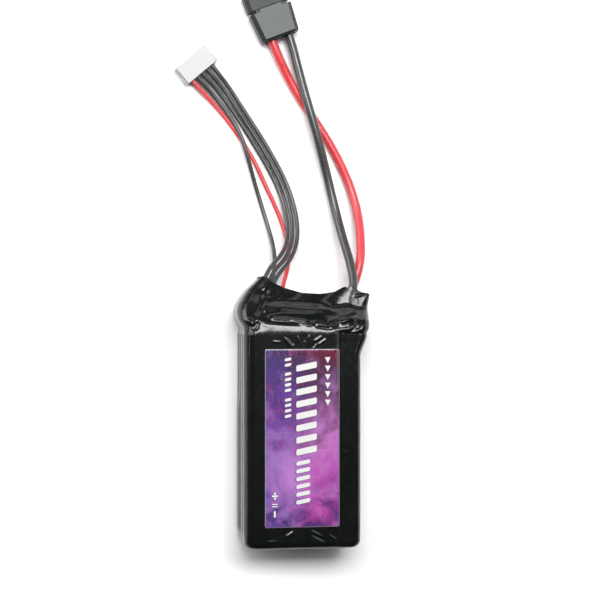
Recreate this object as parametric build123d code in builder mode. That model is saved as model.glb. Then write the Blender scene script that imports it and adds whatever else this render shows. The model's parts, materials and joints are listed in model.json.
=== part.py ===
"""Four-cell lithium polymer battery pack, lying on its back with its label up.

Millimetres. X runs across the pack, Y along it towards the lead end, Z up.
The origin is the middle of the pack's footprint, on the surface it lies on.
"""
import os
from math import cos, pi, radians, sin, tan

from build123d import *

# ---------------------------------------------------------------- driving sizes
pack_length = 102.8          # base end to the lip of the flattened sleeve
pack_width = 45.6
pack_height = 30.4
film = 0.4                   # shrink sleeve wall
sleeve_corner = 4.0          # long edges
base_corner = 3.0            # edges round the base end
base_opening = (38.0, 22.8)

hood_start_y = 33.0          # cells' end of the flattened part
hood_wide_y = 39.0
hood_wide_size = (53.2, 21.6)
lip_size = (43.1, 11.2)
lip_middle_x = 5.05

cell_count = 4
cell_width = 43.6
cell_thickness = 6.95
cell_length = 75.2
cell_edge = 2.0              # rounding of the pouch along its long edges
tape_thickness = 0.2
plate_thickness = 0.6
plate_size = (33.0, 78.0)
front_plate_x = -2.1

label_size = (29.2, 69.0)
label_middle = (-0.6, -8.1)
label_thickness = 0.12

board_y = 31.6               # inner face of the tab board
board_thickness = 1.0
board_size = (41.0, 26.0)
tab_x = 10.0
tab_size = (8.0, 0.2)
pad_thickness = 0.1

main_lead_diameter = 3.6
balance_lead_diameter = 1.7

plug_origin = (-5.6, 151.1, 4.15)    # middle of the power plug's rear face
plug_turn = 21.5                     # degrees from +Y towards -X
pole_offset = 3.6                    # each contact from the plug's centre line
cover_size = (17.8, 8.2)      # at its front, against the plug body
cover_rear_width = 15.8       # where the leads go in
cover_length = 13.0
cover_travel = 5.0
slide_clearance = 0.3
socket_radius = 1.75
socket_depth = 10.0

balance_origin = (-37.15, 136.5, 2.9)  # middle of the balance plug's wire side
balance_turn = 40.7
balance_ways = 5
balance_pitch = 2.5
balance_size = (14.9, 5.75, 7.85)

os.makedirs("parts", exist_ok=True)

half_length = pack_length / 2
middle_z = pack_height / 2
pad_face_y = board_y + board_thickness + pad_thickness


def save(part, label):
    """Label a finished piece and write it as its own STEP file."""
    part.label = label
    export_step(part, f"parts/{label}.step")


def cross_section(y, x=0.0, z=middle_z):
    """A plane across the pack at y: local x is -X and local y is +Z."""
    return Plane(origin=(x, y, z), x_dir=(-1, 0, 0), z_dir=(0, 1, 0))


def plug_frame(origin, turn, along=0.0):
    """A plane across a plug, `along` millimetres ahead of its rear face."""
    forward = Vector(-sin(radians(turn)), cos(radians(turn)), 0)
    across = Vector(-cos(radians(turn)), -sin(radians(turn)), 0)
    return Plane(origin=Vector(*origin) + forward * along, x_dir=across, z_dir=forward)


def power_plane(along):
    return plug_frame(plug_origin, plug_turn, along)


def balance_plane(along):
    return plug_frame(balance_origin, balance_turn, along)


def cell_z(index):
    """Height of a cell's middle; index 0 is the lowest cell."""
    first = film + plate_thickness + cell_thickness / 2
    return first + index * (cell_thickness + tape_thickness)


# ---------------------------------------------------------------- shrink sleeve
with BuildPart() as shrink_sleeve:
    with BuildSketch(cross_section(-half_length)):
        RectangleRounded(pack_width, pack_height, sleeve_corner)
    extrude(amount=half_length + hood_start_y)
    base_face = shrink_sleeve.faces().sort_by(Axis.Y)[0]
    fillet(base_face.edges(), base_corner)
    with BuildSketch(cross_section(hood_start_y)):
        RectangleRounded(pack_width, pack_height, sleeve_corner)
    with BuildSketch(cross_section(hood_wide_y)):
        RectangleRounded(*hood_wide_size, 6.0)
    with BuildSketch(cross_section(half_length, lip_middle_x)):
        RectangleRounded(*lip_size, 3.0)
    loft()

with BuildPart() as sleeve_inside:
    with BuildSketch(cross_section(-half_length + film)):
        RectangleRounded(pack_width - 2 * film, pack_height - 2 * film, sleeve_corner - film)
    extrude(amount=half_length - film + hood_start_y)
    base_face = sleeve_inside.faces().sort_by(Axis.Y)[0]
    fillet(base_face.edges(), base_corner - film)
    with BuildSketch(cross_section(hood_start_y)):
        RectangleRounded(pack_width - 2 * film, pack_height - 2 * film, sleeve_corner - film)
    with BuildSketch(cross_section(hood_wide_y)):
        RectangleRounded(hood_wide_size[0] - 2 * film, hood_wide_size[1] - 2 * film, 6.0 - film)
    with BuildSketch(cross_section(half_length, lip_middle_x)):
        RectangleRounded(lip_size[0] - 2 * film, lip_size[1] - 2 * film, 3.0 - film)
    loft()

with shrink_sleeve:
    add(sleeve_inside.part, mode=Mode.SUBTRACT)
    with BuildSketch(cross_section(-half_length - 1)):
        RectangleRounded(*base_opening, 3.0)
    extrude(amount=1 + 2 * film, mode=Mode.SUBTRACT)
save(shrink_sleeve.part, "shrink_sleeve")

with BuildPart() as front_label:
    with BuildSketch(Plane.XY.offset(pack_height)):
        with Locations(label_middle):
            RectangleRounded(*label_size, 0.8)
    extrude(amount=label_thickness)
save(front_label.part, "front_label")

# ---------------------------------------------------------------- cells and their packing
plate_middle_y = 30.0 - plate_size[1] / 2
for name, plate_x, plate_z in (
    ("back_plate", 0.0, film),
    ("front_plate", front_plate_x, pack_height - film - plate_thickness),
):
    with BuildPart() as plate:
        with BuildSketch(Plane.XY.offset(plate_z)):
            with Locations((plate_x, plate_middle_y)):
                RectangleRounded(*plate_size, 1.5)
        extrude(amount=plate_thickness)
    save(plate.part, name)

cell_start_y = -half_length + film + 1.2
cell_end_y = cell_start_y + cell_length
terrace_length = 4.0
for index in range(cell_count):
    with BuildPart() as cell:
        with BuildSketch(cross_section(cell_start_y, z=cell_z(index))):
            RectangleRounded(cell_width, cell_thickness, cell_edge)
        extrude(amount=cell_length)
        ends = cell.faces().sort_by(Axis.Y)
        fillet(ends[0].edges() + ends[-1].edges(), 1.2)
        with BuildSketch(cross_section(cell_end_y - 0.5, z=cell_z(index))):
            RectangleRounded(cell_width - 3, 1.0, 0.4)
        extrude(amount=terrace_length + 0.5)
    save(cell.part, f"cell_{index + 1}")

with BuildPart() as cell_tape:
    for index in range(cell_count - 1):
        with BuildSketch(Plane.XY.offset(cell_z(index) + cell_thickness / 2)):
            with Locations((0, cell_start_y + cell_length / 2)):
                RectangleRounded(cell_width - 8, cell_length - 10, 2.0)
        extrude(amount=tape_thickness)
save(cell_tape.part, "cell_tape")

with BuildPart() as base_pad:
    with BuildSketch(cross_section(-half_length + film)):
        RectangleRounded(39.4, 24.2, 2.0)
    extrude(amount=1.1)
save(base_pad.part, "base_pad")

# ---------------------------------------------------------------- tabs and tab board
tab_start_y = cell_end_y + terrace_length
tab_end_y = board_y + board_thickness + 0.7


def tab_side(index, positive):
    """+1 or -1: the cells alternate, so the next cell's opposite tab lies above."""
    top_down = cell_count - 1 - index
    side = 1 if top_down % 2 == 0 else -1
    return -side if positive else side


for name, positive in (("positive_tabs", True), ("negative_tabs", False)):
    with BuildPart() as tabs:
        for index in range(cell_count):
            tab_plane = cross_section(tab_start_y, x=tab_side(index, positive) * tab_x, z=cell_z(index))
            with BuildSketch(tab_plane):
                Rectangle(*tab_size)
            extrude(amount=tab_end_y - tab_start_y)
    save(tabs.part, name)

with BuildPart() as tab_board:
    with BuildSketch(cross_section(board_y)):
        RectangleRounded(*board_size, 2.0)
        for index in range(cell_count):
            for side in (-1, 1):
                with Locations((side * tab_x, cell_z(index) - middle_z)):
                    Rectangle(tab_size[0] + 0.6, 0.8, mode=Mode.SUBTRACT)
    extrude(amount=board_thickness)
save(tab_board.part, "tab_board")

# Copper areas: (side, lower cell, upper cell); the outer two run out to the main leads.
joined_cells = ((-1, 3, 3), (1, 2, 3), (-1, 1, 2), (1, 0, 1), (-1, 0, 0))
balance_pad_x = (-6.4, -9.0, -16.8, -14.2, -11.6)   # in the plug's order, positive end first
balance_pad_z = middle_z
main_pad_x = 19.0
main_pad_z = (9.7, 21.4)                             # positive, negative

with BuildPart() as board_pads:
    with BuildSketch(cross_section(board_y + board_thickness)):
        for side, lower, upper in joined_cells:
            reach = (cell_z(lower) + cell_z(upper)) / 2 - middle_z
            with Locations((side * tab_x, reach)):
                RectangleRounded(10.0, cell_z(upper) - cell_z(lower) + 2.6, 0.8)
        for lead_z in main_pad_z:
            with Locations((-main_pad_x, lead_z - middle_z)):
                Circle(2.0)
        for lead_x in balance_pad_x:
            with Locations((-lead_x, balance_pad_z - middle_z)):
                Circle(1.1)
        for index in range(cell_count):
            for side in (-1, 1):
                with Locations((side * tab_x, cell_z(index) - middle_z)):
                    Rectangle(tab_size[0] + 0.6, 0.8, mode=Mode.SUBTRACT)
    extrude(amount=pad_thickness)
save(board_pads.part, "board_pads")

with BuildPart() as tab_solder:
    for index in range(cell_count):
        for side in (-1, 1):
            with BuildSketch(cross_section(pad_face_y, x=side * tab_x, z=cell_z(index) + 0.85)):
                RectangleRounded(7.0, 0.8, 0.3)
            extrude(amount=0.5)
save(tab_solder.part, "tab_solder")

with BuildPart() as insulating_sheet:
    with BuildSketch(cross_section(34.4)):
        RectangleRounded(38.0, 24.0, 2.0)
        for lead_z in main_pad_z:
            with Locations((-main_pad_x, lead_z - middle_z)):
                Circle(main_lead_diameter / 2 + 0.4, mode=Mode.SUBTRACT)
        for lead_x in balance_pad_x:
            with Locations((-lead_x, balance_pad_z - middle_z)):
                Circle(balance_lead_diameter / 2 + 0.3, mode=Mode.SUBTRACT)
    extrude(amount=0.3)
save(insulating_sheet.part, "insulating_sheet")

# ---------------------------------------------------------------- power plug
cup_start = 3.0              # rear end of the solder cups
tail_start = 8.4             # rear end of the plug body, under the cover
shell_start = cover_length + slide_clearance
nose_start = 20.0
nose_end = 28.0
contact_end = 27.0
tail_size = (14.0, 6.2)
shell_size = cover_size
nose_size = (13.9, 6.1)
contact_radius = 2.2
poles = (("positive", pole_offset), ("negative", -pole_offset))


def bevelled(width, height, bevel):
    """A rectangle in the open sketch with its four corners cut off."""
    outline = Rectangle(width, height)
    chamfer(outline.vertices(), bevel)


with BuildPart() as power_plug_body:
    with BuildSketch(power_plane(tail_start)):
        bevelled(*tail_size, 0.9)
    extrude(amount=shell_start - tail_start)
    with BuildSketch(power_plane(shell_start)):
        bevelled(*shell_size, 1.6)
    extrude(amount=nose_start - shell_start)
    with BuildSketch(power_plane(nose_start)):
        outline = Rectangle(*nose_size)
        keyed_corners = outline.vertices().sort_by(Axis.X)[-2:]
        chamfer(keyed_corners, 1.7)
    extrude(amount=nose_end - nose_start)
    for z_side in (-1, 1):                      # latch teeth for the cover
        for x_side in (-1, 1):
            with BuildSketch(power_plane(12.05)):
                with Locations((x_side * 5.5, z_side * (tail_size[1] / 2 + 0.2))):
                    Rectangle(1.4, 0.8)
            extrude(amount=0.8)
    with BuildSketch(power_plane(tail_start)):
        with Locations((pole_offset, 0), (-pole_offset, 0)):
            Circle(contact_radius + 0.05)
    extrude(amount=nose_end - tail_start, mode=Mode.SUBTRACT)
save(power_plug_body.part, "power_plug_body")

for pole, offset_x in poles:
    with BuildPart() as contact:
        with BuildSketch(power_plane(cup_start)):
            with Locations((offset_x, 0)):
                Circle(2.0)
        extrude(amount=5.0)
        with BuildSketch(power_plane(cup_start + 5.0)):
            with Locations((offset_x, 0)):
                Circle(contact_radius)
        extrude(amount=contact_end - cup_start - 5.0)
        with BuildSketch(power_plane(cup_start)):
            with Locations((offset_x, 0)):
                Circle(1.6)
        extrude(amount=4.0, mode=Mode.SUBTRACT)
        with BuildSketch(power_plane(contact_end - socket_depth)):
            with Locations((offset_x, 0)):
                Circle(socket_radius)
        extrude(amount=socket_depth, mode=Mode.SUBTRACT)
    save(contact.part, f"power_contact_{pole}")

with BuildPart() as cup_solder:
    with BuildSketch(power_plane(cup_start)):
        with Locations((pole_offset, 0), (-pole_offset, 0)):
            Circle(1.6)
    extrude(amount=4.0)
save(cup_solder.part, "cup_solder")

with BuildPart() as contact_sleeves:
    with BuildSketch(power_plane(2.2)):
        with Locations((pole_offset, 0), (-pole_offset, 0)):
            Circle(2.35)
            Circle(2.05, mode=Mode.SUBTRACT)
    extrude(amount=5.7)
save(contact_sleeves.part, "contact_sleeves")

rear_wall = 1.5
cover_cavity = (tail_size[0] + 2 * slide_clearance, tail_size[1] + 2 * slide_clearance)
with BuildPart() as plug_cover:
    with BuildSketch(power_plane(0)):
        bevelled(cover_rear_width - 1.0, cover_size[1] - 1.0, 1.4)
    with BuildSketch(power_plane(1.0)):
        bevelled(cover_rear_width, cover_size[1], 1.6)
    loft(ruled=True)
    with BuildSketch(power_plane(1.0)):
        bevelled(cover_rear_width, cover_size[1], 1.6)
    with BuildSketch(power_plane(cover_length)):
        bevelled(*cover_size, 1.6)
    loft(ruled=True)
    with BuildSketch(power_plane(rear_wall)):
        bevelled(*cover_cavity, 0.9)
    extrude(amount=cover_length - rear_wall, mode=Mode.SUBTRACT)
    with BuildSketch(power_plane(0)):           # the two wire openings, either side of a web
        with Locations((pole_offset, 0), (-pole_offset, 0)):
            RectangleRounded(5.7, 5.4, 2.2)
    extrude(amount=rear_wall, mode=Mode.SUBTRACT)
    with BuildSketch(power_plane(11.9)):        # latch slots, either side of the front tongue
        with Locations((6.9, 0), (-6.9, 0)):
            Rectangle(4.6, cover_size[1] + 1)
    extrude(amount=cover_length - 11.9, mode=Mode.SUBTRACT)
save(plug_cover.part, "plug_cover")

# ---------------------------------------------------------------- balance plug
width, height, depth = balance_size
way_x = [(balance_ways - 1) / 2 * balance_pitch - way * balance_pitch for way in range(balance_ways)]
with BuildPart() as balance_housing:
    with BuildSketch(balance_plane(0)):
        RectangleRounded(width, height, 0.3)
    extrude(amount=depth)
    with BuildSketch(balance_plane(0)):         # guide ribs at both ends of the wire side
        with Locations((width / 2, 0.6), (-width / 2, 0.6)):
            Rectangle(0.9, 2.4)
    extrude(amount=3.2)
    with BuildSketch(balance_plane(0)):
        for x in way_x:
            with Locations((x, 0)):
                Rectangle(2.0, 3.2)
    extrude(amount=depth - 0.8, mode=Mode.SUBTRACT)
    with BuildSketch(balance_plane(depth - 0.8)):
        for x in way_x:
            with Locations((x, 0)):
                Rectangle(1.1, 1.1)
    extrude(amount=0.8, mode=Mode.SUBTRACT)
    with BuildSketch(balance_plane(depth - 4.6)):   # windows over the contacts' locking tongues
        for x in way_x:
            with Locations((x, 0.6 - height / 2)):
                Rectangle(1.2, 1.8)
    extrude(amount=2.2, mode=Mode.SUBTRACT)
save(balance_housing.part, "balance_housing")

wire_insertion = 2.0
with BuildPart() as balance_contacts:
    for x in way_x:
        with BuildSketch(balance_plane(wire_insertion)):
            with Locations((x, 0)):
                Rectangle(1.7, 1.9)
                Rectangle(0.8, 0.8, mode=Mode.SUBTRACT)
        extrude(amount=depth - 0.8 - wire_insertion)
save(balance_contacts.part, "balance_contacts")


# ---------------------------------------------------------------- free leads
def power_wire(pole_x, along):
    """A point on the straight run of a main lead behind its solder cup."""
    return power_plane(along).from_local_coords(Vector(pole_x, 0, 0))


def balance_wire(way, along):
    return balance_plane(along).from_local_coords(Vector(way_x[way], 0, 0))


def lead(label, diameter, points):
    """A round lead: straight runs joined by the largest tangent arcs that they allow."""
    corners = [Vector(point) for point in points]
    radii = []
    for before, corner, after in zip(corners, corners[1:], corners[2:]):
        turn = (corner - before).get_angle(after - corner)
        run = min((corner - before).length, (after - corner).length)
        radii.append(0.45 * run / tan(radians(turn) / 2))
    print(label, "radii in diameters", [round(radius / diameter, 1) for radius in radii])
    with BuildPart() as tube:
        with BuildLine() as path:
            FilletPolyline(*corners, radius=radii)
        with BuildSketch(Plane(origin=path.line @ 0, z_dir=path.line % 0)):
            Circle(diameter / 2)
        sweep()
    length = sum(edge.length for edge in path.edges())
    expected = pi * diameter**2 / 4 * length
    print("  length", round(length, 1), "mm, volume ratio", round(tube.part.volume / expected, 4))
    save(tube.part, label)


lead(
    "main_lead_negative",
    main_lead_diameter,
    [
        (main_pad_x, pad_face_y, main_pad_z[1]),
        (main_pad_x, 38.8, main_pad_z[1]),
        (20.3, 45.2, 20.0),
        (22.2, 52.2, 17.4),
        (21.2, 60.4, 13.8),
        (18.9, 71.4, 7.8),
        (16.5, 83.2, 4.0),
        (13.7, 95.0, 4.4),
        (10.8, 105.6, 7.4),
        (8.3, 114.6, 9.0),
        (5.1, 125.2, 9.0),
        (2.7, 134.4, 6.4),
        (0.8, 142.0, 4.4),
        power_wire(-pole_offset, -3.0),
        power_wire(-pole_offset, cup_start),
    ],
)
lead(
    "main_lead_positive",
    main_lead_diameter,
    [
        (main_pad_x, pad_face_y, main_pad_z[0]),
        (main_pad_x, 39.4, main_pad_z[0]),
        (20.8, 46.2, 11.0),
        (23.5, 53.0, 12.7),
        (25.9, 61.0, 11.7),
        (26.6, 70.0, 8.3),
        (26.4, 79.8, 4.0),
        (23.8, 90.8, 1.9),
        (19.2, 101.2, 1.9),
        (13.9, 110.6, 1.9),
        (8.0, 119.4, 1.9),
        (2.0, 128.2, 1.9),
        (-3.0, 137.0, 2.4),
        power_wire(pole_offset, -5.0),
        power_wire(pole_offset, cup_start),
    ],
)

balance_routes = (
    (   # positive end, on the surface nearly all the way
        (-6.5, 43.4, 14.4),
        (-5.9, 50.6, 12.2),
        (-2.9, 58.0, 7.0),
        (-2.0, 66.2, 2.8),
        (-3.9, 75.0, 1.1),
        (-7.3, 83.4, 1.0),
        (-11.4, 92.0, 1.0),
        (-15.2, 100.4, 1.0),
        (-20.0, 108.4, 1.0),
        (-25.4, 116.2, 1.0),
        (-31.4, 123.4, 1.3),
    ),
    (   # beside it, over it once
        (-9.5, 43.4, 14.2),
        (-10.3, 50.8, 12.6),
        (-8.6, 58.4, 8.8),
        (-8.2, 66.0, 4.6),
        (-10.2, 74.6, 1.8),
        (-13.1, 84.0, 1.0),
        (-15.9, 93.2, 1.6),
        (-18.6, 102.4, 5.6),
        (-21.6, 112.4, 5.6),
        (-26.8, 121.0, 2.4),
        (-32.2, 127.6, 1.4),
    ),
    (   # bundle of three, inner lead
        (-16.0, 43.8, 16.8),
        (-15.0, 51.0, 17.6),
        (-11.4, 58.4, 15.2),
        (-5.9, 63.4, 10.8),
        (-3.0, 69.4, 7.0),
        (-2.7, 78.0, 3.6),
        (-5.2, 88.6, 1.4),
        (-10.0, 98.4, 1.0),
        (-17.0, 110.2, 1.0),
        (-24.1, 121.0, 1.0),
        (-31.2, 130.4, 1.5),
    ),
    (   # bundle of three, middle lead
        (-13.7, 43.6, 16.8),
        (-12.9, 50.4, 17.6),
        (-9.9, 56.8, 15.1),
        (-4.4, 61.8, 10.8),
        (-1.0, 68.8, 6.9),
        (-0.7, 78.2, 3.6),
        (-3.4, 89.4, 1.4),
        (-8.2, 99.3, 1.0),
        (-15.3, 111.2, 1.0),
        (-22.4, 121.9, 1.0),
        (-28.8, 131.0, 1.5),
    ),
    (   # bundle of three, outer lead
        (-11.4, 43.4, 16.8),
        (-10.8, 49.8, 17.6),
        (-8.3, 55.2, 15.0),
        (-2.9, 60.4, 10.8),
        (1.0, 68.0, 6.8),
        (1.4, 78.4, 3.6),
        (-1.6, 90.2, 1.4),
        (-6.4, 100.3, 1.0),
        (-13.6, 112.2, 1.0),
        (-20.7, 122.9, 1.0),
        (-26.6, 131.8, 1.5),
    ),
)
for way, route in enumerate(balance_routes):
    start = (balance_pad_x[way], pad_face_y, balance_pad_z)
    straight = (balance_pad_x[way], 37.0, balance_pad_z)
    lead(
        f"balance_lead_{way + 1}",
        balance_lead_diameter,
        [start, straight, *route, balance_wire(way, -3.0), balance_wire(way, wire_insertion)],
    )
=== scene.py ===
"""Looks of the lipo battery pack: film, label, leads, plugs, light and camera."""
import json
from math import cos, pi, radians, sin, sqrt

import bpy
import numpy as np
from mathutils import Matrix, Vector


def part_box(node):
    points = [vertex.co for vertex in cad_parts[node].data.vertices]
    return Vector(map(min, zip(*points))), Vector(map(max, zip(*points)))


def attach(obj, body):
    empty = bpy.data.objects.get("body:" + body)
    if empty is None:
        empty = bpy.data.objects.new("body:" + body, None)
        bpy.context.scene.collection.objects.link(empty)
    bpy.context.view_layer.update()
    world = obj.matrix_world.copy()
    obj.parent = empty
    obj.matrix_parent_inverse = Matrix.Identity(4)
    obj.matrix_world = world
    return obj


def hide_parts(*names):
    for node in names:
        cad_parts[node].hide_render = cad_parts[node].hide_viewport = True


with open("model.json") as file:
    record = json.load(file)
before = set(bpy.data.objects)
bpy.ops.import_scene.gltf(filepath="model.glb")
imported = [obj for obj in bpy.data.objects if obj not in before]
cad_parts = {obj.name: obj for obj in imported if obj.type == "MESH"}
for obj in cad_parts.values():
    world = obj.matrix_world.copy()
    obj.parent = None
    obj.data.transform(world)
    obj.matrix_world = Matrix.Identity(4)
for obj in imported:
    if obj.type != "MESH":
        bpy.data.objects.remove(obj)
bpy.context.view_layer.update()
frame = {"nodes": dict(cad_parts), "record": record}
MM = 0.001


def mm(*values):
    """A point given in millimetres, as a vector in metres."""
    return Vector(values) * MM


# ------------------------------------------------------------------ materials
class Shader:
    """A node material with one Principled shader, and short calls to add nodes."""

    def __init__(self, name, **settings):
        self.material = bpy.data.materials.new(name)
        self.material.use_nodes = True
        self.tree = self.material.node_tree
        self.bsdf = self.tree.nodes["Principled BSDF"]
        self.coordinates = self.tree.nodes.new("ShaderNodeTexCoord")
        for socket, value in settings.items():
            self.bsdf.inputs[socket.replace("_", " ")].default_value = value

    def link(self, source, target):
        self.tree.links.new(source, target)

    def place(self, scale=(1, 1, 1), location=(0, 0, 0), rotation=(0, 0, 0)):
        """Object coordinates in millimetres, moved and scaled."""
        node = self.tree.nodes.new("ShaderNodeMapping")
        node.inputs["Scale"].default_value = [1000 * value for value in scale]
        node.inputs["Location"].default_value = location
        node.inputs["Rotation"].default_value = rotation
        self.link(self.coordinates.outputs["Object"], node.inputs["Vector"])
        return node.outputs["Vector"]

    def noise(self, scale, vector=None, detail=3.0, roughness=0.55, distortion=0.0):
        """Cloudy noise; scale is in features per millimetre."""
        node = self.tree.nodes.new("ShaderNodeTexNoise")
        node.inputs["Scale"].default_value = scale
        node.inputs["Detail"].default_value = detail
        node.inputs["Roughness"].default_value = roughness
        node.inputs["Distortion"].default_value = distortion
        self.link(vector or self.place(), node.inputs["Vector"])
        return node.outputs["Fac"]

    def ramp(self, source, stops, smooth=False):
        """Maps a 0 to 1 source through (place, level or colour) stops."""
        node = self.tree.nodes.new("ShaderNodeValToRGB")
        band = node.color_ramp
        if smooth:
            band.interpolation = "EASE"
        for _ in stops[2:]:
            band.elements.new(0.5)
        for element, (place, _) in zip(band.elements, stops):
            element.position = place
        for element, (_, value) in zip(band.elements, stops):
            level = value if isinstance(value, tuple) else (value, value, value)
            element.color = (*level[:3], 1)
        self.link(source, node.inputs["Fac"])
        return node.outputs["Color"]

    def mix(self, factor, first, second):
        """The first colour where the factor is 0, the second where it is 1."""
        node = self.tree.nodes.new("ShaderNodeMix")
        node.data_type = "RGBA"
        for socket, value in ((0, factor), (6, first), (7, second)):
            if isinstance(value, (int, float)):
                node.inputs[socket].default_value = value
            elif isinstance(value, tuple):
                node.inputs[socket].default_value = (*value, 1)
            else:
                self.link(value, node.inputs[socket])
        return node.outputs[2]

    def math(self, operation, first, second=0.0):
        node = self.tree.nodes.new("ShaderNodeMath")
        node.operation = operation
        for socket, value in ((0, first), (1, second)):
            if isinstance(value, (int, float)):
                node.inputs[socket].default_value = value
            else:
                self.link(value, node.inputs[socket])
        return node.outputs[0]

    def axis(self, vector, name):
        node = self.tree.nodes.new("ShaderNodeSeparateXYZ")
        self.link(vector, node.inputs[0])
        return node.outputs[name]

    def glow(self, vector, middle, radius, strength):
        """A round patch, full in its middle and nothing at its radius, both as (across, along)."""
        node = self.tree.nodes.new("ShaderNodeMapping")
        node.vector_type = "TEXTURE"
        node.inputs["Location"].default_value = (*middle, 0)
        node.inputs["Scale"].default_value = (*radius, 1000)
        self.link(vector, node.inputs["Vector"])
        ball = self.tree.nodes.new("ShaderNodeTexGradient")
        ball.gradient_type = "SPHERICAL"
        self.link(node.outputs["Vector"], ball.inputs["Vector"])
        return self.math("MULTIPLY", ball.outputs["Fac"], strength)

    def color(self, source):
        self.link(source, self.bsdf.inputs["Base Color"])

    def rough(self, source, low, high):
        """Roughness that follows the source between two levels."""
        self.link(self.ramp(source, ((0.25, low), (0.75, high))), self.bsdf.inputs["Roughness"])

    def bump(self, source, strength, distance):
        """Adds relief; distance is in metres."""
        node = self.tree.nodes.new("ShaderNodeBump")
        node.inputs["Strength"].default_value = strength
        node.inputs["Distance"].default_value = distance
        previous = self.bsdf.inputs["Normal"].links
        if previous:
            self.link(previous[0].from_socket, node.inputs["Normal"])
        self.link(source, node.inputs["Height"])
        self.link(node.outputs["Normal"], self.bsdf.inputs["Normal"])


FILM_DEEP = (0.0030, 0.0042, 0.0038)
FILM_PALE = (0.0052, 0.0066, 0.0060)
FILM_GLOSS = (0.13, 0.24)           # roughness, at its smoothest and its dullest


def film_material():
    """Shrink film: nearly black and glossy, with faint ripples."""
    shader = Shader("sleeve_film", IOR=1.43)
    ripple = shader.noise(0.22, shader.place((1, 0.45, 1)), detail=2.0)
    fine = shader.noise(2.6, shader.place((1, 0.5, 1)), detail=4.0)
    dust = shader.noise(9.0, detail=1.0)
    shader.color(shader.mix(shader.ramp(ripple, ((0.35, 0.0), (0.75, 1.0))), FILM_DEEP, FILM_PALE))
    gloss = shader.ramp(fine, ((0.3, FILM_GLOSS[0]), (0.7, FILM_GLOSS[1])))
    shader.link(gloss, shader.bsdf.inputs["Roughness"])
    shader.bump(ripple, 0.35, 0.0006)
    shader.bump(fine, 0.20, 0.00006)
    shader.bump(dust, 0.05, 0.00002)
    return shader.material


def silicone_material(name, deep, pale, gloss=0.65):
    """Silicone insulation: soft sheen, faint bloom and print-roller texture."""
    shader = Shader(name, IOR=1.43)
    shader.bsdf.inputs["Sheen Weight"].default_value = 0.15
    shader.bsdf.inputs["Sheen Roughness"].default_value = 0.5
    shader.bsdf.inputs["Coat Weight"].default_value = gloss
    shader.bsdf.inputs["Coat Roughness"].default_value = 0.32
    bloom = shader.noise(0.9, detail=4.0)
    grain = shader.noise(14.0, detail=2.0)
    shader.color(shader.mix(shader.ramp(bloom, ((0.3, 0.0), (0.75, 1.0))), deep, pale))
    shader.rough(bloom, 0.26, 0.40)
    shader.bump(grain, 0.12, 0.00005)
    shader.bump(bloom, 0.15, 0.00012)
    return shader.material


def nylon_material(name, deep, pale, roughness, grain_height, translucent=0.0):
    """Moulded nylon: spark-eroded grain, slight colour drift, soft gloss."""
    shader = Shader(name, IOR=1.53)
    if translucent:
        shader.bsdf.inputs["Subsurface Weight"].default_value = translucent
        shader.bsdf.inputs["Subsurface Radius"].default_value = (0.0012, 0.0012, 0.001)
    drift = shader.noise(0.35, detail=3.0)
    grain = shader.noise(7.0, detail=5.0, roughness=0.65)
    flow = shader.noise(1.4, shader.place((1, 0.2, 1)), detail=2.0)
    shader.color(shader.mix(shader.mix(0.5, drift, flow), deep, pale))
    shader.rough(grain, roughness - 0.07, roughness + 0.10)
    shader.bump(grain, 0.35, grain_height)
    return shader.material


def metal_material(name, deep, pale, roughness, streak=(1, 1, 1)):
    """Plated or rolled metal with fine streaks."""
    shader = Shader(name, Metallic=1.0)
    streaks = shader.noise(6.0, shader.place(streak), detail=4.0)
    stain = shader.noise(0.6, detail=3.0)
    shader.color(shader.mix(shader.ramp(stain, ((0.3, 0.0), (0.8, 1.0))), pale, deep))
    shader.rough(streaks, roughness * 0.7, roughness * 1.35)
    shader.bump(streaks, 0.12, 0.00003)
    return shader.material


def sheet_material(name, deep, pale, roughness, scale=5.0, weave=False):
    """Board laminate, paper, foam tape: grain or weave in the colour and relief."""
    shader = Shader(name)
    grain = shader.noise(scale, detail=5.0, roughness=0.7)
    if weave:
        for turn in (0, pi / 2):
            wave = shader.tree.nodes.new("ShaderNodeTexWave")
            wave.inputs["Scale"].default_value = 0.55
            shader.link(shader.place(rotation=(0, 0, turn)), wave.inputs["Vector"])
            shader.bump(wave.outputs["Fac"], 0.12, 0.00004)
    shader.color(shader.mix(shader.ramp(grain, ((0.3, 0.0), (0.7, 1.0))), deep, pale))
    shader.rough(grain, roughness - 0.08, roughness + 0.08)
    shader.bump(grain, 0.3, 0.00008)
    return shader.material


# The print's colours up the label, from its base end, at the left and the right edge
PRINT_LEFT = (
    (0.00, (0.045, 0.026, 0.120)), (0.14, (0.130, 0.065, 0.280)), (0.34, (0.250, 0.130, 0.370)),
    (0.52, (0.130, 0.055, 0.250)), (0.74, (0.082, 0.036, 0.180)), (0.90, (0.050, 0.036, 0.120)),
    (1.00, (0.032, 0.028, 0.075)))
PRINT_RIGHT = (
    (0.00, (0.090, 0.026, 0.140)), (0.12, (0.190, 0.036, 0.190)), (0.26, (0.360, 0.072, 0.330)),
    (0.44, (0.400, 0.140, 0.390)), (0.60, (0.190, 0.070, 0.190)), (0.78, (0.062, 0.026, 0.056)),
    (1.00, (0.070, 0.016, 0.030)))
VEIN_PINK = (0.50, 0.055, 0.22)
DOT_PINK = (0.65, 0.26, 0.36)
HAZE = (0.36, 0.17, 0.44)
PALE_PATCH = (0.46, 0.19, 0.50)
RED_CORNER = (0.16, 0.015, 0.035)
RIM_GREY = (0.24, 0.22, 0.27)


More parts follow.
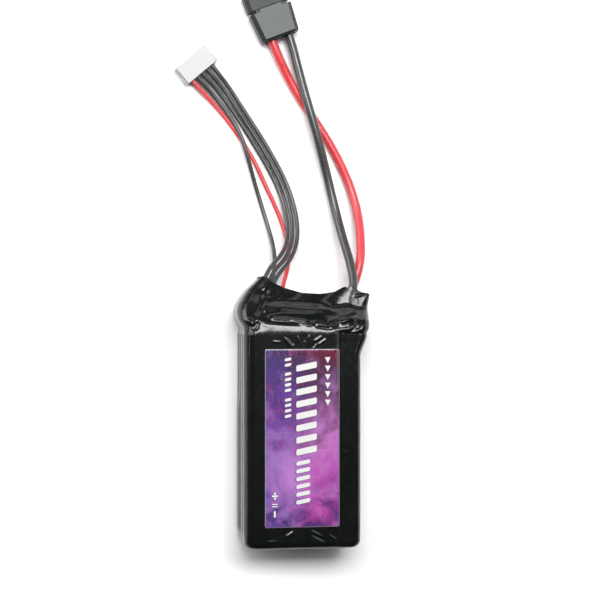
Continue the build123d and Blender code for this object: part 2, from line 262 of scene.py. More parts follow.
def label_clouds(shader, across, along, clouds):
    """The two edges' colours, swayed by the clouds and mixed across the label."""
    sway = shader.math("MULTIPLY", shader.math("SUBTRACT", clouds, 0.5), 0.9)
    height = shader.math("ADD", along, sway)
    left = shader.ramp(height, PRINT_LEFT)
    right = shader.ramp(height, PRINT_RIGHT)
    side = shader.math("ADD", across, shader.math("MULTIPLY", sway, 0.8))
    return shader.mix(shader.ramp(side, ((0.30, 0.0), (0.70, 1.0)), True), left, right)


def label_veins(shader, clouds):
    """Thin wisps, strongest where the clouds are dense."""
    wisps = shader.noise(0.16, shader.place((1.0, 0.7, 0), (3.1, 1.7, 0)), detail=7.0, roughness=0.6,
                         distortion=2.2)
    ridge = shader.math("ABSOLUTE", shader.math("SUBTRACT", wisps, 0.5))
    vein = shader.ramp(ridge, ((0.0, 0.55), (0.012, 0.30), (0.045, 0.0)))
    patch = shader.ramp(clouds, ((0.46, 0.0), (0.62, 1.0)))
    return shader.math("MULTIPLY", vein, patch)


def label_glows(shader, unit, base):
    """Haze over the whole print, a pale patch low at the left and a red one at the top right."""
    haze = shader.ramp(shader.noise(0.12, shader.place((1, 0.8, 0), (7.7, 2.2, 0)), detail=4.0),
                       ((0.50, 0.0), (0.72, 0.55)))
    base = shader.mix(haze, base, HAZE)
    base = shader.mix(shader.glow(unit, (0.34, 0.27), (0.30, 0.22), 0.75), base, PALE_PATCH)
    return shader.mix(shader.glow(unit, (0.85, 1.0), (0.35, 0.10), 0.6), base, RED_CORNER)


def label_rim(shader, across, along, width, length):
    """1 at the label's cut edge, 0 from a third of a millimetre inside it."""
    from_side = edge_distance(shader, across, width)
    from_end = edge_distance(shader, along, length)
    from_edge = shader.math("MINIMUM", from_side, from_end)
    return shader.ramp(from_edge, ((0.00, 1.0), (0.22, 0.9), (0.34, 0.0)))


def label_material(low, high):
    """Laminated print: clouds from indigo at the left to magenta at the right, with pink veins."""
    width = high.x - low.x
    length = high.y - low.y
    shader = Shader("label_print", IOR=1.5, Roughness=0.16)
    shader.bsdf.inputs["Coat Weight"].default_value = 0.6
    shader.bsdf.inputs["Coat Roughness"].default_value = 0.06
    unit = shader.place((0.001 / width, 0.001 / length, 1), (-low.x / width, -low.y / length, 0))
    across = shader.axis(unit, "X")
    along = shader.axis(unit, "Y")
    clouds = shader.noise(0.085, shader.place((1, 1, 0)), detail=6.0, roughness=0.55, distortion=1.2)
    speck = shader.noise(2.2, shader.place((1, 1, 0)), detail=2.0)
    vein = label_veins(shader, clouds)
    dots = shader.math("MULTIPLY", shader.ramp(speck, ((0.64, 0.0), (0.70, 1.0))), vein)
    base = label_clouds(shader, across, along, clouds)
    base = shader.mix(vein, base, VEIN_PINK)
    base = label_glows(shader, unit, base)
    base = shader.mix(dots, base, DOT_PINK)
    shader.color(shader.mix(label_rim(shader, across, along, width, length), base, RIM_GREY))
    shader.bump(shader.noise(0.30, shader.place((1, 0.4, 1)), detail=2.0), 0.15, 0.0002)
    return shader.material


def edge_distance(shader, share, size):
    """Distance in millimetres to the nearer end, from a 0 to 1 position along a size in metres."""
    from_middle = shader.math("ABSOLUTE", shader.math("SUBTRACT", share, 0.5))
    return shader.math("MULTIPLY", shader.math("SUBTRACT", 0.5, from_middle), size * 1000)


def ink_material(name, deep, pale):
    """Screen ink with a slight mottle."""
    shader = Shader(name, IOR=1.5)
    mottle = shader.noise(3.0, detail=4.0)
    shader.color(shader.mix(mottle, deep, pale))
    shader.rough(mottle, 0.26, 0.42)
    shader.bump(mottle, 0.10, 0.00001)
    return shader.material


MATERIALS = {
    "sleeve_film": film_material(),
    "guard_plate": sheet_material("guard_plate", (0.030, 0.024, 0.020), (0.055, 0.046, 0.040), 0.55),
    "cell_pouch": metal_material("cell_pouch", (0.46, 0.47, 0.49), (0.66, 0.67, 0.69), 0.34, (1, 0.2, 1)),
    "foam_tape": sheet_material("foam_tape", (0.035, 0.035, 0.035), (0.085, 0.085, 0.085), 0.8, 3.0),
    "tab_aluminium": metal_material("tab_aluminium", (0.62, 0.62, 0.62), (0.82, 0.82, 0.82), 0.30,
                                    (0.2, 1, 1)),
    "tab_nickel": metal_material("tab_nickel", (0.48, 0.44, 0.38), (0.66, 0.62, 0.56), 0.28, (0.2, 1, 1)),
    "board_laminate": sheet_material("board_laminate", (0.012, 0.10, 0.040), (0.025, 0.17, 0.070), 0.35,
                                     2.0, True),
    "pad_copper": metal_material("pad_copper", (0.55, 0.28, 0.12), (0.80, 0.50, 0.28), 0.28),
    "solder": metal_material("solder", (0.50, 0.51, 0.52), (0.74, 0.75, 0.76), 0.20),
    "barrier_paper": sheet_material("barrier_paper", (0.30, 0.33, 0.20), (0.46, 0.48, 0.33), 0.6, 4.0, True),
    "lead_black": silicone_material("lead_black", (0.012, 0.013, 0.013), (0.034, 0.037, 0.036)),
    "lead_red": silicone_material("lead_red", (0.54, 0.026, 0.036), (0.64, 0.048, 0.058), 0.4),
    "plug_nylon": nylon_material("plug_nylon", (0.002, 0.004, 0.005), (0.010, 0.015, 0.016), 0.50, 0.00014),
    "cover_nylon": nylon_material("cover_nylon", (0.005, 0.011, 0.011), (0.012, 0.019, 0.019), 0.42,
                                  0.00005),
    "contact_gold": metal_material("contact_gold", (0.78, 0.50, 0.16), (1.0, 0.74, 0.33), 0.18),
    "contact_sleeve": silicone_material("contact_sleeve", (0.010, 0.010, 0.010), (0.03, 0.03, 0.03)),
    "balance_nylon": nylon_material("balance_nylon", (0.29, 0.30, 0.285), (0.35, 0.36, 0.345), 0.34,
                                    0.00002, 0.2),
    "contact_tin": metal_material("contact_tin", (0.55, 0.55, 0.54), (0.78, 0.78, 0.77), 0.25),
    "label_print": label_material(*(Vector(corner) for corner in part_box("front_label"))),
    "white_ink": ink_material("white_ink", (0.56, 0.56, 0.55), (0.64, 0.64, 0.63)),
    "dark_ink": ink_material("dark_ink", (0.030, 0.014, 0.050), (0.050, 0.022, 0.075)),
}

for entry in frame["record"]["subparts"]:
    node = frame["nodes"][entry["node"]]
    if entry["material_slot"] in MATERIALS:
        node.data.materials.clear()
        node.data.materials.append(MATERIALS[entry["material_slot"]])


# ------------------------------------------------------------------ camera and light
CAMERA_TILT = radians(8.5)          # towards the pack's left side
CAMERA_DISTANCE = 0.620
SENSOR_WIDTH = 36.0                 # in millimetres, as the lens
LENS = 92.05
AIM = mm(2.2, 45.35, 0)
WORLD_LIGHT = 0.035
FLOOR_SIZE = 6.0
FLOOR_TONES = ((0.90, 0.90, 0.90), (0.93, 0.93, 0.93))
# Soft boxes: name, place, aim, size, power
SOFT_BOXES = (
    ("box_top", (0.0, 0.325, 0.86), (0, 0.0, 0.0), (0.50, 0.26), 8.8),
    ("box_left", (-0.72, 0.40, 0.42), (0, 0.04, 0.0), (0.80, 0.45), 6.5),
    ("box_right", (0.34, 0.22, 0.80), (0, 0.02, 0.0), (0.50, 0.22), 0.8),
    ("box_right_low", (0.78, 0.40, 0.40), (0, 0.04, 0.0), (0.60, 0.35), 1.5),
    ("box_far", (0.0, 0.80, 0.44), (0, 0.04, 0.0), (0.9, 0.16), 0.9),
)


def make_camera():
    """Looks down on the pack with its sides upright in the view, a little from its left."""
    data = bpy.data.cameras.new("camera")
    camera = bpy.data.objects.new("camera", data)
    bpy.context.scene.collection.objects.link(camera)
    away = Vector((-sin(CAMERA_TILT), 0, cos(CAMERA_TILT)))
    camera.location = AIM + CAMERA_DISTANCE * away
    camera.rotation_euler = (0, -CAMERA_TILT, 0)
    data.sensor_fit = "HORIZONTAL"
    data.sensor_width = SENSOR_WIDTH
    data.lens = LENS
    data.clip_start = 0.01
    bpy.context.scene.camera = camera


def area_light(name, place, aim, size, power):
    """A rectangular soft box that faces its aim."""
    data = bpy.data.lights.new(name, "AREA")
    data.shape = "RECTANGLE"
    data.size, data.size_y = size
    data.energy = power
    light = bpy.data.objects.new(name, data)
    light.location = Vector(place)
    light.rotation_euler = (Vector(aim) - Vector(place)).to_track_quat("-Z", "Y").to_euler()
    bpy.context.scene.collection.objects.link(light)


def make_studio():
    """Five soft boxes and a dim white world: the strongest light comes from over the lead end."""
    for soft_box in SOFT_BOXES:
        area_light(*soft_box)
    world = bpy.data.worlds.new("studio")
    bpy.context.scene.world = world
    world.use_nodes = True
    background = world.node_tree.nodes["Background"]
    background.inputs["Color"].default_value = (1.0, 1.0, 1.0, 1)
    background.inputs["Strength"].default_value = WORLD_LIGHT


def make_floor():
    """A dull white floor, staged: it is no part of the pack."""
    bpy.ops.mesh.primitive_plane_add(size=FLOOR_SIZE)
    floor = bpy.context.object
    floor.name = "floor"
    shader = Shader("floor", Roughness=0.9)
    tone = shader.noise(0.004, detail=1.0)
    shader.color(shader.mix(tone, *FLOOR_TONES))
    shader.bsdf.inputs["Specular IOR Level"].default_value = 0.1
    floor.data.materials.append(shader.material)


make_camera()
make_studio()
make_floor()
bpy.context.scene.view_settings.view_transform = "Standard"


# ------------------------------------------------------------------ mesh helpers
def new_mesh(name, points, faces):
    """A mesh from points in metres."""
    mesh = bpy.data.meshes.new(name)
    mesh.from_pydata(points, [], faces)
    mesh.validate()
    return mesh


def new_piece(name, mesh, slot, smooth=True, finish=None):
    """Shows a mesh as a piece of the pack, in the slot's material or a finish of its own."""
    piece = bpy.data.objects.new(name, mesh)
    bpy.context.scene.collection.objects.link(piece)
    mesh.materials.append(MATERIALS[finish or slot])
    for polygon in mesh.polygons:
        polygon.use_smooth = smooth
    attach(piece, "pack")
    return piece


def thicken(piece, thickness):
    """Gives a sheet its thickness, in millimetres, downwards or inwards from the face drawn."""
    skin = piece.modifiers.new("skin", "SOLIDIFY")
    skin.thickness = thickness * MM
    skin.offset = -1


# ------------------------------------------------------------------ leads
PLUG_ORIGIN = Vector((-5.6, 151.1, 4.15))
PLUG_TURN = radians(21.5)
BALANCE_ORIGIN = Vector((-37.15, 136.5, 2.9))
BALANCE_TURN = radians(40.7)
POLE_OFFSET = 3.6
BALANCE_PITCH = 2.5
MIDDLE_WAY = 2                      # counted from 0
CUP_START = 3.0                     # how far a main lead runs into the power plug
WIRE_INSERTION = 2.0                # and a balance lead into its housing
MAIN_DIAMETER = 3.6
BALANCE_DIAMETER = 1.7
PAD_FACE_Y = 32.7


def plug_point(origin, turn, along, across, up=0.0):
    """A point on a plug, in millimetres: `along` ahead of its rear face, `across` to its left."""
    forward = Vector((-sin(turn), cos(turn), 0))
    left = Vector((-cos(turn), -sin(turn), 0))
    return origin + forward * along + left * across + Vector((0, 0, up))


def power_wire(pole_x, along):
    """A point of a main lead's line, `along` ahead of the power plug's rear face."""
    return tuple(plug_point(PLUG_ORIGIN, PLUG_TURN, along, pole_x))


def balance_wire(way, along):
    """A point of a balance lead's line, `along` ahead of the housing's rear face."""
    return tuple(plug_point(BALANCE_ORIGIN, BALANCE_TURN, along, (MIDDLE_WAY - way) * BALANCE_PITCH))


def cord(name, points, diameter, slot):
    """A free lead: one smooth NURBS line through its route, as thick as the lead."""
    data = bpy.data.curves.new(name, "CURVE")
    data.dimensions = "3D"
    data.resolution_u = 12
    data.bevel_depth = diameter / 2 * MM
    data.bevel_resolution = 8
    data.use_fill_caps = True
    spline = data.splines.new("NURBS")
    spline.points.add(len(points) - 1)
    for point, place in zip(spline.points, points):
        point.co = (*(Vector(place) * MM), 1)
    spline.order_u = 3
    spline.use_endpoint_u = True
    data.materials.append(MATERIALS[slot])
    piece = bpy.data.objects.new(name, data)
    bpy.context.scene.collection.objects.link(piece)
    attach(piece, "pack")
    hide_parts(name.removesuffix("_line"))


# Routes from the board's pads to the plugs, in millimetres
MAIN_PAD_X = 19.0
MAIN_PAD_Z = (9.7, 21.4)            # positive, negative
NEGATIVE_ROUTE = [
    (MAIN_PAD_X, PAD_FACE_Y, MAIN_PAD_Z[1]),
    (MAIN_PAD_X, 38.8, MAIN_PAD_Z[1]),
    (20.3, 45.2, 20.0),
    (22.2, 52.2, 17.4),
    (21.2, 60.4, 13.8),
    (18.9, 71.4, 7.8),
    (16.5, 83.2, 4.0),
    (13.7, 95.0, 3.6),
    (10.8, 105.6, 5.2),
    (8.3, 114.6, 5.9),
    (5.1, 125.2, 5.9),
    (2.7, 134.4, 5.0),
    (0.8, 142.0, 4.3),
    power_wire(-POLE_OFFSET, -3.0),
    power_wire(-POLE_OFFSET, CUP_START),
]
POSITIVE_ROUTE = [
    (MAIN_PAD_X, PAD_FACE_Y, MAIN_PAD_Z[0]),
    (MAIN_PAD_X, 39.4, MAIN_PAD_Z[0]),
    (20.8, 46.2, 11.0),
    (23.5, 53.0, 12.7),
    (25.9, 61.0, 11.7),
    (26.6, 70.0, 8.3),
    (26.4, 79.8, 4.0),
    (23.8, 90.8, 1.9),
    (19.2, 101.2, 1.9),
    (13.9, 110.6, 1.9),
    (8.0, 119.4, 1.9),
    (2.0, 128.2, 1.9),
    (-3.0, 137.0, 2.4),
    power_wire(POLE_OFFSET, -5.0),
    power_wire(POLE_OFFSET, CUP_START),
]
BALANCE_PAD_X = (-6.4, -9.0, -16.8, -14.2, -11.6)
BALANCE_PAD_Z = 15.2
BALANCE_BEND_Y = 37.0               # where a balance lead starts to bend
BALANCE_ROUTES = (
    (
        (-6.5, 43.4, 14.4),
        (-5.9, 50.6, 12.2),
        (-2.9, 58.0, 7.0),
        (-2.0, 66.2, 2.8),
        (-3.9, 75.0, 1.1),
        (-7.3, 83.4, 1.0),
        (-11.4, 92.0, 1.0),
        (-15.2, 100.4, 1.0),
        (-20.0, 108.4, 1.0),
        (-25.4, 116.2, 1.0),
        (-31.4, 123.4, 1.3),
    ),
    (
        (-9.5, 43.4, 14.2),
        (-10.3, 50.8, 12.6),
        (-8.6, 58.4, 8.8),
        (-8.2, 66.0, 4.6),
        (-10.2, 74.6, 1.8),
        (-13.1, 84.0, 1.0),
        (-15.9, 93.2, 1.4),
        (-18.6, 102.4, 3.0),
        (-21.6, 112.4, 3.0),
        (-26.8, 121.0, 1.8),
        (-32.2, 127.6, 1.4),
    ),
    (
        (-16.0, 43.8, 16.8),
        (-15.0, 51.0, 17.6),
        (-11.4, 58.4, 15.2),
        (-5.9, 63.4, 10.8),
        (-3.0, 69.4, 7.0),
        (-2.7, 78.0, 3.6),
        (-5.2, 88.6, 1.4),
        (-10.0, 98.4, 1.0),
        (-17.0, 110.2, 1.0),
        (-24.1, 121.0, 1.0),
        (-31.2, 130.4, 1.5),
    ),
    (
        (-13.7, 43.6, 16.8),
        (-12.9, 50.4, 17.6),
        (-9.9, 56.8, 15.1),
        (-4.4, 61.8, 10.8),
        (-1.0, 68.8, 6.9),
        (-0.7, 78.2, 3.6),
        (-3.4, 89.4, 1.4),
        (-8.2, 99.3, 1.0),
        (-15.3, 111.2, 1.0),
        (-22.4, 121.9, 1.0),
        (-28.8, 131.0, 1.5),
    ),
    (
        (-11.4, 43.4, 16.8),
        (-10.8, 49.8, 17.6),
        (-8.3, 55.2, 15.0),
        (-2.9, 60.4, 10.8),
        (1.0, 68.0, 6.8),
        (1.4, 78.4, 3.6),
        (-1.6, 90.2, 1.4),
        (-6.4, 100.3, 1.0),
        (-13.6, 112.2, 1.0),
        (-20.7, 122.9, 1.0),
        (-26.6, 131.8, 1.5),
    ),
)
LIP_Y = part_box("shrink_sleeve")[1][1]


def make_leads():
    """Seven free leads, each from its solder joint to its plug."""
    cord("main_lead_negative_line", NEGATIVE_ROUTE, MAIN_DIAMETER, "lead_black")
    cord("main_lead_positive_line", POSITIVE_ROUTE, MAIN_DIAMETER, "lead_red")
    for way, route in enumerate(BALANCE_ROUTES):
        start = (BALANCE_PAD_X[way], PAD_FACE_Y, BALANCE_PAD_Z)
        straight = (BALANCE_PAD_X[way], BALANCE_BEND_Y, BALANCE_PAD_Z)
        points = [start, straight, *route, balance_wire(way, -3.0), balance_wire(way, WIRE_INSERTION)]
        cord(f"balance_lead_{way + 1}_line", points, BALANCE_DIAMETER,
             "lead_red" if way == 0 else "lead_black")


make_leads()


# ------------------------------------------------------------------ shrink film
HALF_LENGTH = LIP_Y / MM
HALF_WIDTH = 22.8
MIDDLE_Z = 15.2
FACE_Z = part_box("shrink_sleeve")[1][2] / MM
CORNER = 4.0
FILM_THICKNESS = 0.15
BASE_ROUND = 3.0
BASE_OPENING = 7.4           # from the side walls in to the film's cut edge at the base end
FLARE_Y = 23.0               # where the right side starts to stand out
HOOD_Y = 32.2                # the shoulder, where the film turns down from the face
PLATE_X = (-19.9, 14.1)
PLATE_STEP = 0.35
PLATE_BEND_X = 10.4          # where the plate starts to curve down towards its right edge
PLATE_FALL = 0.022           # how fast it does
CELL_PITCH = 7.1
CELL_WAVE = 0.22             # how far the film is drawn in between the cells
FIRST_CELL_Z = 4.4
WAVE_START = (-48.5, -44.0)  # waves and swell grow from nothing between these
LEFT_SWELL = 0.8             # how far the left wall stands out low down, along the base half
SWELL_Z, SWELL_REACH = 9.0, 5.0
SWELL_END = (0.0, 10.0)
# Rings along the straight body: from, to, how many
BODY_ROWS = ((-HALF_LENGTH + BASE_ROUND, -42.0, 28), (-42.0, 24.0, 90), (24.0, HOOD_Y, 36))
HOOD_ROWS = 84

# Ring of points round the sleeve: how many on each straight and each corner.
TOP_COUNT, SIDE_COUNT, CORNER_COUNT = 150, 44, 12

# Lip of the flattened end: (position across, -1 left to 1 right; y of the film's edge)
LIP_LINE = ((-1.0, 53.6), (-0.93, 54.9), (-0.84, 54.2), (-0.72, 51.95), (-0.54, 50.15), (-0.23, 48.25),
            (0.11, 47.75), (0.40, 48.6), (0.64, 50.9), (0.72, 49.6), (0.82, 48.4), (0.92, 48.1), (1.0, 47.3))
# How far along the hood (0 shoulder, 1 lip) against how much of the thickness is left
MIDDLE_PROFILE = (
    (-0.2, 1.0), (0.0, 1.0), (0.06, 0.996), (0.12, 0.985), (0.19, 0.970), (0.26, 0.93), (0.34, 0.87),
    (0.45, 0.765), (0.56, 0.655), (0.60, 0.61), (0.74, 0.36), (0.80, 0.29), (1.0, 0.10), (1.2, 0.0))
LEFT_PROFILE = (
    (-0.2, 1.0), (0.0, 1.0), (0.06, 0.985), (0.2, 0.86), (0.4, 0.63), (0.6, 0.41), (0.8, 0.20),
    (1.0, 0.04), (1.2, -0.10))
RIGHT_PROFILE = (
    (-0.2, 1.0), (0.0, 1.0), (0.08, 0.985), (0.2, 0.90), (0.35, 0.68), (0.48, 0.40), (0.58, 0.18),
    (0.64, 0.12), (0.85, 0.05), (1.0, 0.0), (1.2, -0.05))
LEFT_EDGE = ((-0.1, -22.8), (0.12, -22.9), (0.17, -23.7), (0.26, -25.0), (0.40, -25.4), (0.533, -24.7),
             (0.67, -23.05), (0.81, -20.8), (1.0, -16.5))
RIGHT_EDGE = ((0.0, 25.4), (0.15, 26.8), (0.32, 27.3), (0.70, 27.4), (1.0, 28.6))

# Height of the film's two sides at the lip, and how far they part round the leads at each end
LIP_TOP, LIP_RISE_LEFT, LIP_RISE_RIGHT = 18.2, 2.8, 3.1
LIP_BOTTOM, LIP_DROP_LEFT, LIP_DROP_RIGHT = 15.7, 5.2, 8.4
FLANK_DROP, FLANK_SLOPE = 1.9, 0.6      # the sloping fold along the hood's left edge

# Creases seen from above: from (x, y) to (x, y), half width, height (below 0 a groove)
HOOD_CREASES = (
    ((-14.0, 38.4), (-3.0, 37.8), 0.60, 0.62), ((-5.5, 38.0), (3.0, 36.8), 0.55, 0.60),
    ((-3.0, 36.6), (4.0, 35.2), 0.45, 0.26), ((3.5, 36.6), (11.0, 34.9), 0.45, 0.34),
    ((4.0, 35.0), (11.5, 34.0), 0.40, -0.30), ((8.0, 36.2), (14.0, 38.4), 0.60, 0.40),
    ((-19.0, 41.2), (-7.0, 43.2), 1.30, 0.55), ((-10.0, 43.4), (6.0, 42.2), 1.30, 0.50),
    ((1.0, 42.6), (16.0, 40.6), 1.10, 0.40), ((-15.0, 40.2), (8.0, 39.6), 0.90, -0.15),
    ((12.5, 36.4), (22.6, 39.6), 1.30, 1.50), ((17.5, 32.6), (22.6, 35.4), 0.90, -0.45),
    ((22.4, 33.0), (25.4, 41.0), 0.90, 0.40), ((-22.2, 38.0), (-18.6, 36.0), 0.80, 0.40),
    ((-19.6, 32.8), (-17.6, 37.6), 0.80, -0.55), ((-19.0, 38.6), (-12.4, 49.5), 1.10, -0.55),
    ((-15.5, 49.0), (-11.5, 52.0), 0.45, 0.30), ((20.5, 46.6), (27.0, 48.0), 0.50, 0.30),
)
FACE_CREASES = (
    ((-8.2, 31.6), (-4.0, 26.2), 0.45, 0.15), ((-6.6, 31.8), (-3.4, 27.6), 0.35, -0.14),
    ((-2.6, 32.0), (-2.0, 28.6), 0.35, 0.12), ((0.4, 32.0), (0.2, 28.8), 0.35, -0.12),
    ((2.2, 32.0), (1.4, 29.4), 0.35, 0.12), ((3.6, 29.0), (7.4, 31.6), 0.38, 0.20),
    ((5.0, 27.6), (9.2, 30.6), 0.35, 0.18), ((3.0, 26.4), (5.2, 29.8), 0.40, -0.14),
    ((-13.0, 29.4), (-8.0, 29.0), 0.35, 0.08), ((-8.0, -46.8), (-3.4, -43.8), 0.45, 0.24),
    ((2.0, -43.6), (7.8, -46.8), 0.45, 0.22), ((1.8, -44.6), (10.4, -49.0), 0.60, -0.20),
    ((14.6, -13.8), (17.6, -14.6), 0.40, 0.14), ((-15.5, -48.2), (-9.5, -47.8), 0.55, 0.14),
    ((8.8, -45.2), (13.6, -48.4), 0.50, 0.14),
)


def interpolate(table, places):
    """Straight interpolation in a table of (place, value) pairs."""
    return np.interp(places, [row[0] for row in table], [row[1] for row in table])


def soft_interpolate(table, places, spread):
    """The same, averaged over nearby places so that its corners are round."""
    steps = np.linspace(-spread, spread, 9)
    return sum(interpolate(table, places + step) for step in steps) / len(steps)


def ease(low, high, values):
    """0 below low, 1 above high, smooth between."""
    share = np.clip((values - low) / (high - low), 0, 1)
    return share * share * (3 - 2 * share)


def crease_height(creases, x, y):
    """Sum of ridges and grooves: rounded across, tapering to nothing at both ends."""
    total = np.zeros_like(x)
    for start, end, half_width, height in creases:
        run = np.array(end) - np.array(start)
        length = np.hypot(*run)
        along = ((x - start[0]) * run[0] + (y - start[1]) * run[1]) / length
        across = np.abs((x - start[0]) * run[1] - (y - start[1]) * run[0]) / length
        taper = np.clip(np.minimum(along, length - along) / (0.35 * length), 0, 1)
        total += height * np.exp(-((across / half_width) ** 2)) * taper * taper * (3 - 2 * taper)
    return total


def face_relief(x, y):
    """Height of the labelled face over the plain sleeve: the plate under it and small creases."""
    left, right = PLATE_X
    on_plate = ease(left - 0.5, left + 0.5, x) * (1 - ease(right - 0.1, right + 1.0, x))
    step = PLATE_STEP * (on_plate - 1)
    edge_fall = -PLATE_FALL * np.clip(x - PLATE_BEND_X, 0, 3.7) ** 2
    return step + edge_fall + crease_height(FACE_CREASES, x, y)


def ring(corner_x, corner_z):
    """Unit rounded rectangle, clockwise from the left end of the top; arrays of x and z."""
    xs, zs = [], []
    quarter = np.linspace(0, pi / 2, CORNER_COUNT, endpoint=False)
    top = np.linspace(-(1 - corner_x), 1 - corner_x, TOP_COUNT, endpoint=False)
    side = np.linspace(1 - corner_z, -(1 - corner_z), SIDE_COUNT, endpoint=False)
    for sign in (1, -1):
        xs += [sign * top, sign * (1 - corner_x + corner_x * np.sin(quarter)), sign * np.ones(SIDE_COUNT),
               sign * (1 - corner_x + corner_x * np.cos(quarter))]
        zs += [sign * np.ones(TOP_COUNT), sign * (1 - corner_z + corner_z * np.cos(quarter)), sign * side,
               -sign * (1 - corner_z + corner_z * np.sin(quarter))]
    return np.concatenate(xs), np.concatenate(zs)


def side_relief(x, ys, z, unit_x, unit_z):
    """The side walls with waves over the cells and, low at the left, a swell."""
    grown = ease(*WAVE_START, ys)
    waves = np.cos(2 * pi * (z - FIRST_CELL_Z) / CELL_PITCH)
    bulge = CELL_WAVE * waves * grown * (1 - ease(0.0, 0.2, 1 - np.abs(unit_x)))
    x = x + np.sign(unit_x) * bulge * (np.abs(unit_z) < 0.8)
    swell = LEFT_SWELL * np.exp(-((z - SWELL_Z) / SWELL_REACH) ** 2) * grown * (1 - ease(*SWELL_END, ys))
    return x - swell * (unit_x < -0.95)


def body_ring(y, inset=0.0):
    """Points of the sleeve at y on the straight body, or pulled in by inset at its base end."""
    corner = max(CORNER - inset * 0.4, 1.0)
    half_x, half_z = HALF_WIDTH - inset, MIDDLE_Z - inset
    unit_x, unit_z = ring(corner / half_x, corner / half_z)
    x = unit_x * half_x
    z = MIDDLE_Z + unit_z * half_z
    flare = ease(FLARE_Y, HOOD_Y, np.full_like(x, y))
    x = x + flare * (RIGHT_EDGE[0][1] - HALF_WIDTH) * ease(0.55, 1.0, unit_x)
    ys = np.full_like(x, y)
    x = side_relief(x, ys, z, unit_x, unit_z)
    z = z + ease(0.96, 1.0, unit_z) * face_relief(x, ys) * max(1 - inset / BASE_ROUND, 0)
    return np.stack([x, ys, z], axis=1)


def hood_corners(share):
    """Corner sizes of a ring of the hood, across and up, as shares of its half sizes."""
    across = 0.175 - 0.055 * ease(0.1, 0.3, share) - 0.05 * ease(0.7, 1.0, share)
    up = min(0.263 + 0.9 * share, 0.60) + 0.34 * ease(0.75, 1.0, share)
    return across, up


def lip_heights(unit_x):
    """Heights of the film's upper and lower side at the lip, parted round the leads."""
    top = (LIP_TOP + LIP_RISE_LEFT * (1 - ease(-0.95, -0.20, unit_x))
           + LIP_RISE_RIGHT * ease(-0.05, 0.66, unit_x))
    bottom = (LIP_BOTTOM - LIP_DROP_LEFT * (1 - ease(-0.40, -0.12, unit_x))
              - LIP_DROP_RIGHT * ease(0.20, 0.66, unit_x))
    return top, bottom


def thickness_left(share, unit_x):
    """How much of the thickness is left: one profile in the middle and one at each side."""
    at_left = 1 - ease(-0.95, -0.60, unit_x)
    at_right = ease(0.05, 0.60, unit_x)
    return (soft_interpolate(MIDDLE_PROFILE, share, 0.02) * (1 - at_left - at_right)
            + soft_interpolate(LEFT_PROFILE, share, 0.04) * at_left
            + soft_interpolate(RIGHT_PROFILE, share, 0.03) * at_right)


def hood_relief(share, x, y, z, unit_z, left_over):
    """Creases on the hood, the plate's step running out at its shoulder, and waves beneath."""
    on_top = ease(0.3, 0.9, unit_z)
    fade = ease(0.0, 0.10, share) * (1 - 0.6 * ease(0.9, 1.0, share))
    z = z + on_top * crease_height(HOOD_CREASES, x, y) * fade
    z = z + on_top * (1 - ease(0.0, 0.12, share)) * face_relief(x, np.minimum(y, HOOD_Y))
    under = ease(0.3, 0.9, -unit_z)
    folds = 0.35 * np.sin(x * 0.9 + 2.0 * np.sin(y * 0.45)) * ease(0.15, 0.6, share)
    return z + under * folds * (0.4 + 0.6 * left_over)


def hood_ring(share):
    """Points of the flattened end: share 0 at the shoulder, 1 at the lip."""
    unit_x, unit_z = ring(*hood_corners(share))
    left = soft_interpolate(LEFT_EDGE, share, 0.03)
    right = soft_interpolate(RIGHT_EDGE, share, 0.03)
    x = left + (right - left) * (unit_x + 1) / 2
    y = HOOD_Y + (soft_interpolate(LIP_LINE, unit_x, 0.03) - HOOD_Y) * share
    lip_top, lip_bottom = lip_heights(unit_x)
    left_over = thickness_left(share, unit_x)
    top = lip_top + (FACE_Z - lip_top) * left_over
    bottom = lip_bottom * (1 - np.maximum(left_over, 0))
    z = (top + bottom) / 2 + unit_z * (top - bottom) / 2
    flank = np.maximum(top - FLANK_DROP + FLANK_SLOPE * (x - left), (top + bottom) / 2)
    z = np.where((unit_z > 0) & (unit_x < 0), np.minimum(z, flank), z)
    z = hood_relief(share, x, y, z, unit_z, left_over)
    return np.stack([x, y, z], axis=1)


def base_rings():
    """The film folded over the base end: from its cut edge out to the long sides."""
    rings = []
    for share in np.linspace(0, 1, 8, endpoint=False):
        inset = BASE_OPENING - (BASE_OPENING - BASE_ROUND) * share
        loop = body_ring(-HALF_LENGTH, inset)
        around = np.arctan2(loop[:, 2] - MIDDLE_Z, loop[:, 0])
        wrinkle = 0.10 * np.sin(around * 23) + 0.16 * np.sin(around * 9 + 1.3)
        loop[:, 1] += 0.22 + wrinkle * (1 - share * 0.6)
        rings.append(loop)
    for turn in np.linspace(0, pi / 2, 9, endpoint=False):
        inset = max(BASE_ROUND * (1 - sin(turn)), 0.001)
        rings.append(body_ring(-HALF_LENGTH + BASE_ROUND * (1 - cos(turn)), inset))
    return rings


def film_rings():
    """All rings of the film, from its cut edge at the base end to the lip."""
    rings = base_rings()
    for start, end, count in BODY_ROWS:
        rings += [body_ring(y) for y in np.linspace(start, end, count, endpoint=False)]
    rings += [hood_ring(share) for share in np.linspace(0, 1, HOOD_ROWS)]
    return rings


def tube_mesh(name, rings):
    """A mesh of quads through equal rings of points, in metres."""
    count = len(rings[0])
    points = (np.concatenate(rings) * MM).tolist()
    faces = []
    for row in range(len(rings) - 1):
        for column in range(count):
            after = (column + 1) % count
            faces.append((row * count + column, row * count + after,
                          (row + 1) * count + after, (row + 1) * count + column))
    return new_mesh(name, points, faces)


def make_film():
    """The shrink film, in place of the plain sleeve."""
    film = new_piece("sleeve_film", tube_mesh("sleeve_film", film_rings()), "sleeve_film")
    thicken(film, FILM_THICKNESS)
    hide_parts("shrink_sleeve")


make_film()


